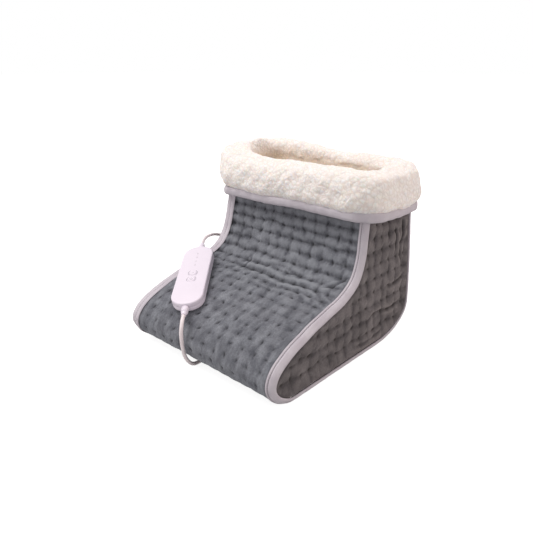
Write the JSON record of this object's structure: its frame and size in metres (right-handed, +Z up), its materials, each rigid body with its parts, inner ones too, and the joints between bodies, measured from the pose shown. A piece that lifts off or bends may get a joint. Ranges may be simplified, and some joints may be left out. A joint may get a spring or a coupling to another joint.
{
  "type": "electric foot warmer",
  "caption": "Quilted plush boot for both feet with a fleece collar, a heating wire in its sole, a hand control with sprung buttons, and a mains lead with a plug.",
  "frame": {"origin": "on the floor, under the middle of the boot's box, leaving out the gland, the cords and the hand control", "axes": "+Z up, the toe points to -Y, +X to the right of a person looking at the toe"},
  "size_m": [0.3155, 0.4386, 0.2605],
  "materials": {
    "plush_front": "short grey plush, quilted with small tufts",
    "plush_side": "short dark grey plush, quilted with small tufts",
    "tape": "woven lilac grey binding tape",
    "fleece": "deep creamy white fleece",
    "fleece_inner": "cream fleece lining",
    "wadding": "white polyester wadding",
    "felt": "pale grey felt",
    "heating_wire": "red silicone sleeve",
    "control_plastic": "white moulded plastic, satin",
    "cord_jacket": "white flexible plastic",
    "light_guide": "milky clear plastic",
    "board": "green circuit board",
    "capacitor": "grey film capacitor",
    "black_plastic": "black moulded plastic",
    "steel": "zinc plated steel",
    "brass": "nickel plated brass pins"
  },
  "bodies": {
    "boot": {"front_panel": "plush_front", "back_panel": "plush_front", "sole_panel": "plush_side", "left_side_panel": "plush_side", "right_side_panel": "plush_side", "left_edge_binding": "tape", "right_edge_binding": "tape", "fleece_cuff": "fleece", "cuff_binding": "tape", "front_lining": "fleece_inner", "sole_lining": "fleece_inner", "back_lining": "fleece_inner", "left_lining": "fleece_inner", "right_lining": "fleece_inner", "front_wadding": "wadding", "back_wadding": "wadding", "left_wadding": "wadding", "right_wadding": "wadding", "heating_pad": "felt", "heating_wire": "heating_wire", "thermal_cutout_toe": "black_plastic", "thermal_cutout_heel": "black_plastic", "lead_splice": "black_plastic", "inner_lead": "cord_jacket", "cord_gland": "cord_jacket", "control_top_shell": "control_plastic", "control_bottom_shell": "control_plastic", "light_guide": "light_guide", "circuit_board": "board", "indicator_light_1": "light_guide", "indicator_light_2": "light_guide", "indicator_light_3": "light_guide", "indicator_light_4": "light_guide", "power_switch": "black_plastic", "level_switch": "black_plastic", "board_fuse": "steel", "board_triac": "black_plastic", "board_capacitor": "capacitor", "case_screw_upper": "steel", "case_screw_lower": "steel", "upper_strain_relief": "control_plastic", "lower_strain_relief": "control_plastic", "lead_cord": "cord_jacket", "mains_cord": "cord_jacket", "mains_coil": "cord_jacket", "coil_tie": "black_plastic", "plug_strain_relief": "cord_jacket", "plug_body": "cord_jacket", "plug_pin_left": "brass", "plug_pin_right": "brass"},
    "power_button": {"power_button": "control_plastic"},
    "level_button": {"level_button": "control_plastic"}
  },
  "joints": [
    {"name": "power_press", "type": "slide", "parent": "boot", "child": "power_button", "axis": [-0.0767, 0.2648, -0.9612], "range_m": [0, 0.0006], "stiffness_N_per_m": 600, "springref_m": -0.0006},
    {"name": "level_press", "type": "slide", "parent": "boot", "child": "level_button", "axis": [-0.0767, 0.2648, -0.9612], "range_m": [0, 0.0006], "stiffness_N_per_m": 600, "springref_m": -0.0006}
  ]
}
